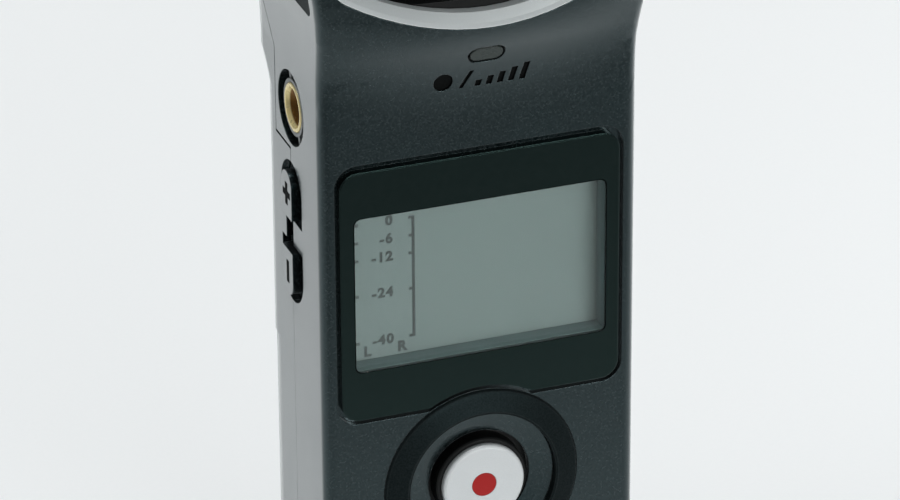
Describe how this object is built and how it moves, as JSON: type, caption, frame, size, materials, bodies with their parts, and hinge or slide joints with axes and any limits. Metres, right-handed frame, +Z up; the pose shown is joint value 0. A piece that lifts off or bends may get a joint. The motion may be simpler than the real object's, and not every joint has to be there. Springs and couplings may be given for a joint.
{
  "type": "handheld audio recorder",
  "caption": "Handheld stereo sound recorder with a caged microphone head, display, round record button and side keys.",
  "frame": {"origin": "centre of the bounding box at the flat bottom end", "axes": "+X to the right seen from the front, +Y to the back, +Z up along the length towards the microphones"},
  "size_m": [0.044, 0.031, 0.136],
  "materials": {
    "case": "satin",
    "dark_gloss": "gloss",
    "black_plastic": "matte",
    "silver_metal": "satin",
    "grille_metal": "matte",
    "steel": "satin",
    "cell_sleeve": "satin",
    "gold_metal": "polished",
    "display": "satin",
    "lens": "satin",
    "red_mark": "satin",
    "board": "matte"
  },
  "bodies": {
    "case": {"front_shell": "case", "mic_cage": "case", "rear_shell": "case", "trim_ring": "silver_metal", "mic_base": "black_plastic", "mic_cradle": "black_plastic", "lower_capsule": "silver_metal", "upper_capsule": "silver_metal", "lower_grille": "grille_metal", "upper_grille": "grille_metal", "window_plate": "dark_gloss", "display_panel": "display", "panel_holder": "black_plastic", "indicator_lens": "lens", "record_ring": "dark_gloss", "headphone_jack": "black_plastic", "headphone_ferrule": "gold_metal", "line_jack": "black_plastic", "line_ferrule": "gold_metal", "usb_socket": "steel", "card_pin": "steel", "card_socket": "steel", "rear_switches": "black_plastic", "switch_board": "board", "loudspeaker": "black_plastic", "tripod_insert": "gold_metal", "battery_cell": "cell_sleeve", "negative_contact": "steel", "positive_contact": "steel", "main_board": "board", "press_switches": "steel", "board_chips": "black_plastic", "case_screws": "steel"},
    "record_press": {"record_button": "black_plastic", "record_cap": "silver_metal", "record_dot": "red_mark"},
    "volume_up_key": {"volume_up_key": "case"},
    "volume_down_key": {"volume_down_key": "case"},
    "level_up_key": {"level_up_key": "case"},
    "level_down_key": {"level_down_key": "case"},
    "play_key": {"play_key": "case"},
    "forward_key": {"forward_key": "case"},
    "rewind_key": {"rewind_key": "case"},
    "delete_key": {"delete_key": "case"},
    "power_slider": {"power_slider": "case"},
    "left_switch_knob": {"left_switch_knob": "black_plastic"},
    "middle_switch_knob": {"middle_switch_knob": "black_plastic"},
    "right_switch_knob": {"right_switch_knob": "black_plastic"},
    "battery_door": {"battery_door": "case"},
    "card_cover": {"card_cover": "case"}
  },
  "joints": [
    {"name": "record_press", "type": "slide", "parent": "case", "child": "record_press", "axis": [0, 1, 0], "range_m": [0, 0.0005], "stiffness_N_per_m": 800},
    {"name": "volume_up_key_press", "type": "slide", "parent": "case", "child": "volume_up_key", "axis": [1, 0, 0], "range_m": [0, 0.0005], "stiffness_N_per_m": 800},
    {"name": "volume_down_key_press", "type": "slide", "parent": "case", "child": "volume_down_key", "axis": [1, 0, 0], "range_m": [0, 0.0005], "stiffness_N_per_m": 800},
    {"name": "level_up_key_press", "type": "slide", "parent": "case", "child": "level_up_key", "axis": [-1, 0, 0], "range_m": [0, 0.0005], "stiffness_N_per_m": 800},
    {"name": "level_down_key_press", "type": "slide", "parent": "case", "child": "level_down_key", "axis": [-1, 0, 0], "range_m": [0, 0.0005], "stiffness_N_per_m": 800},
    {"name": "play_key_press", "type": "slide", "parent": "case", "child": "play_key", "axis": [-1, 0, 0], "range_m": [0, 0.0005], "stiffness_N_per_m": 800},
    {"name": "forward_key_press", "type": "slide", "parent": "case", "child": "forward_key", "axis": [-1, 0, 0], "range_m": [0, 0.0005], "stiffness_N_per_m": 800},
    {"name": "rewind_key_press", "type": "slide", "parent": "case", "child": "rewind_key", "axis": [-1, 0, 0], "range_m": [0, 0.0005], "stiffness_N_per_m": 800},
    {"name": "delete_key_press", "type": "slide", "parent": "case", "child": "delete_key", "axis": [-1, 0, 0], "range_m": [0, 0.0005], "stiffness_N_per_m": 800},
    {"name": "power_slide", "type": "slide", "parent": "case", "child": "power_slider", "axis": [0, 0, 1], "range_m": [-0.0015, 0.0015]},
    {"name": "left_switch_slide", "type": "slide", "parent": "case", "child": "left_switch_knob", "axis": [1, 0, 0], "range_m": [0, 0.002]},
    {"name": "middle_switch_slide", "type": "slide", "parent": "case", "child": "middle_switch_knob", "axis": [1, 0, 0], "range_m": [0, 0.002]},
    {"name": "right_switch_slide", "type": "slide", "parent": "case", "child": "right_switch_knob", "axis": [1, 0, 0], "range_m": [0, 0.002]},
    {"name": "battery_door_slide", "type": "slide", "parent": "case", "child": "battery_door", "axis": [0, 0, -1], "range_m": [0, 0.056]},
    {"name": "card_cover_swing", "type": "hinge", "parent": "case", "child": "card_cover", "pos_m": [-0.019, 0.00135, 0.017], "axis": [0, 0, -1], "range_deg": [0, 90]}
  ]
}
